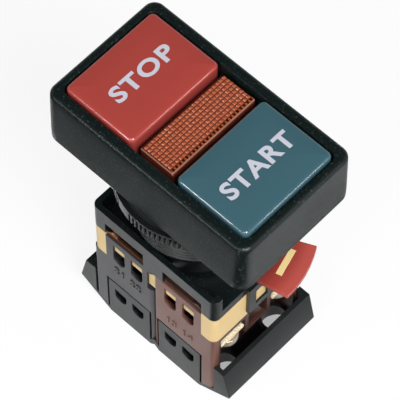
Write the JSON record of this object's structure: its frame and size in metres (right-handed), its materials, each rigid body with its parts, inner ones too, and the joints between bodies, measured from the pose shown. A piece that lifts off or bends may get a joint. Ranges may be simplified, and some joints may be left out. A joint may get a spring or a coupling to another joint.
{
  "type": "pushbutton control station",
  "caption": "Panel-mounted stop and start pushbutton station with a pilot lamp, on a threaded neck with a ring nut, and screw-terminal contact blocks locked on behind the panel.",
  "frame": {"origin": "centre of the bezel's underside, on the neck's axis, where the bezel seats on the panel", "axes": "+Z out of the panel towards the operator, +Y along the bezel's length towards the stop button, +X across the bezel, towards the side that is away from the camera in the picture"},
  "size_m": [0.032, 0.05, 0.073],
  "materials": {
    "bezel_black": "fine spark-eroded grain",
    "neck_black": "moulded, satin",
    "gasket_rubber": "matt",
    "nut_black": "moulded, satin",
    "stop_red": "polished",
    "start_teal": "polished",
    "inner_ivory": "moulded",
    "spring_steel": "drawn wire",
    "lens_amber": "clear, prismatic",
    "lamp_glass": "clear",
    "frame_dark": "moulded, satin",
    "lever_red": "moulded, half gloss",
    "mark_yellow": "printed",
    "housing_grey": "moulded, satin",
    "housing_brown": "moulded, satin",
    "cover_dark": "moulded, satin",
    "retainer_yellow": "moulded, satin",
    "strip_copper": "bare strip",
    "strip_dark": "moulded",
    "carrier_cream": "moulded",
    "contact_brass": "stamped",
    "terminal_steel": "zinc plated, pale"
  },
  "bodies": {
    "station": {"bezel": "bezel_black", "threaded_neck": "neck_black", "rod_guide": "neck_black", "gasket": "gasket_rubber", "stop_return_spring": "spring_steel", "start_return_spring": "spring_steel", "pilot_lens": "lens_amber", "lamp_holder": "inner_ivory", "lamp_bulb": "lamp_glass", "adapter_frame": "frame_dark", "grey_housing": "housing_grey", "brown_housing": "housing_brown", "grey_base_cover": "cover_dark", "brown_base_cover": "cover_dark", "grey_retainer": "retainer_yellow", "brown_retainer": "retainer_yellow", "grey_clip_strip": "strip_copper", "brown_clip_strip": "strip_dark", "grey_carrier_spring": "spring_steel", "brown_carrier_spring": "spring_steel", "grey_fixed_contacts": "contact_brass", "brown_fixed_contacts": "contact_brass", "terminal_clamps": "terminal_steel", "terminal_screws": "terminal_steel"},
    "ring_nut": {"ring_nut": "nut_black"},
    "lever": {"locking_lever": "lever_red", "lever_mark": "mark_yellow"},
    "stop_press": {"stop_button": "stop_red", "stop_pusher": "inner_ivory"},
    "start_press": {"start_button": "start_teal", "start_pusher": "inner_ivory"},
    "stop_contact": {"grey_carrier": "carrier_cream", "grey_bridge": "contact_brass", "grey_contact_spring": "spring_steel"},
    "start_contact": {"brown_carrier": "carrier_cream", "brown_bridge": "contact_brass", "brown_contact_spring": "spring_steel"}
  },
  "joints": [
    {"name": "stop_press", "type": "slide", "parent": "station", "child": "stop_press", "axis": [0, 0, -1], "range_m": [0, 0.004], "stiffness_N_per_m": 600, "springref_m": -0.004, "deforming": ["stop_return_spring"]},
    {"name": "start_press", "type": "slide", "parent": "station", "child": "start_press", "axis": [0, 0, -1], "range_m": [0, 0.004], "stiffness_N_per_m": 600, "springref_m": -0.004, "deforming": ["start_return_spring"]},
    {"name": "stop_contact_slide", "type": "slide", "parent": "station", "child": "stop_contact", "axis": [0, 0, -1], "range_m": [0, 0.004], "stiffness_N_per_m": 200, "springref_m": -0.004, "deforming": ["grey_carrier_spring"]},
    {"name": "start_contact_slide", "type": "slide", "parent": "station", "child": "start_contact", "axis": [0, 0, -1], "range_m": [0, 0.004], "stiffness_N_per_m": 200, "springref_m": -0.004, "deforming": ["brown_carrier_spring"]},
    {"name": "lever_turn", "type": "hinge", "parent": "station", "child": "lever", "pos_m": [0, 0, -0.0237], "axis": [0, 0, 1], "range_deg": [-26, 0]},
    {"name": "nut_turn", "type": "hinge", "parent": "station", "child": "ring_nut", "pos_m": [0, 0, -0.0033], "axis": [0, 0, 1], "continuous": true}
  ],
  "couplings": [
    {"joint": "stop_contact_slide", "follows": "stop_press", "ratio": 1},
    {"joint": "start_contact_slide", "follows": "start_press", "ratio": 1}
  ]
}
